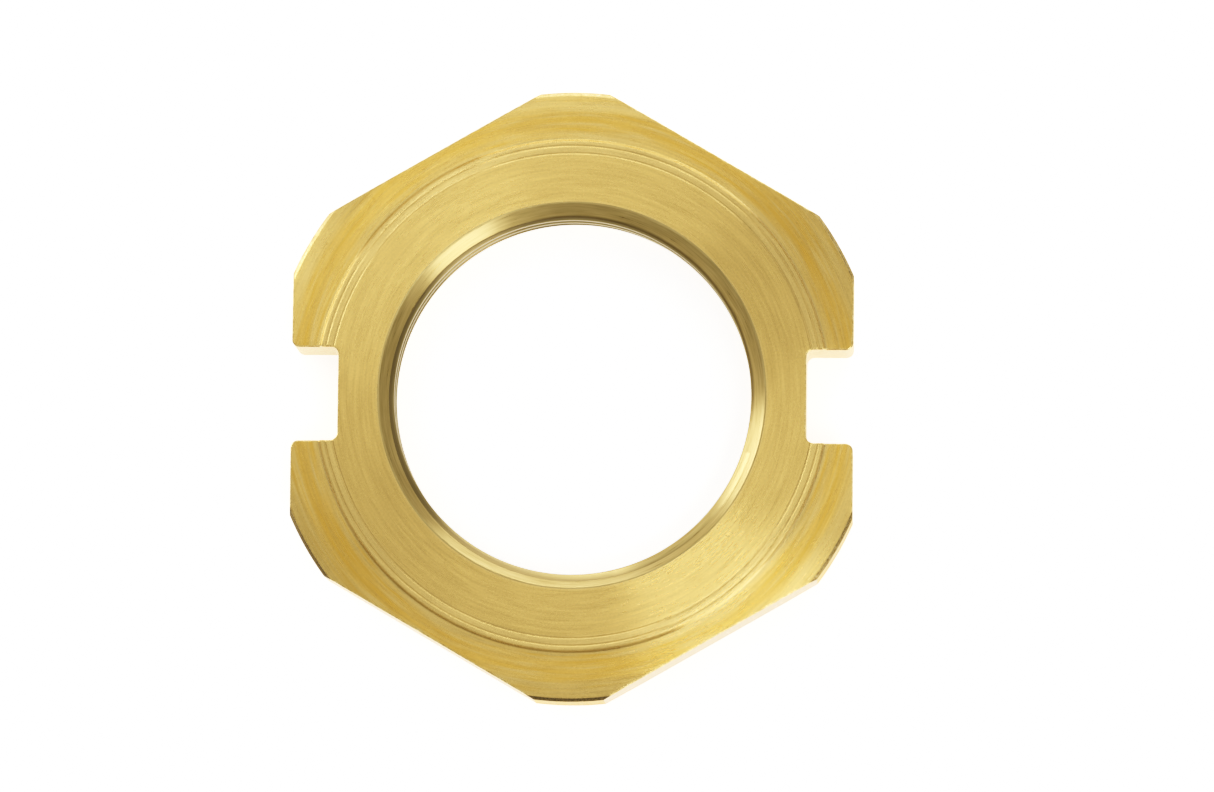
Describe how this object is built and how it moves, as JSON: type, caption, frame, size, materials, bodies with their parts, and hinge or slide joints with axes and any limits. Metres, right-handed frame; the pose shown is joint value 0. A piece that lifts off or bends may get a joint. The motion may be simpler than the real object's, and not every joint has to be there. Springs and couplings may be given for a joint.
{
  "type": "slotted hex lock nut",
  "caption": "Thin brass hexagon lock nut with a turned washer face, a fine-pitch threaded bore and opposed spanner slots across its flats.",
  "frame": {"origin": "centre of the bore on the plain lower face, which the nut rests on", "axes": "+Z along the thread's axis, out of the washer face; the two spanner slots open to -X and +X; hexagon corners point to -Y and +Y"},
  "size_m": [0.03, 0.0326, 0.004],
  "materials": {
    "turned_brass": "face-turned, fine concentric tool marks, satin"
  },
  "bodies": {
    "root": {"slotted_hex_nut": "turned_brass"}
  },
  "joints": []
}
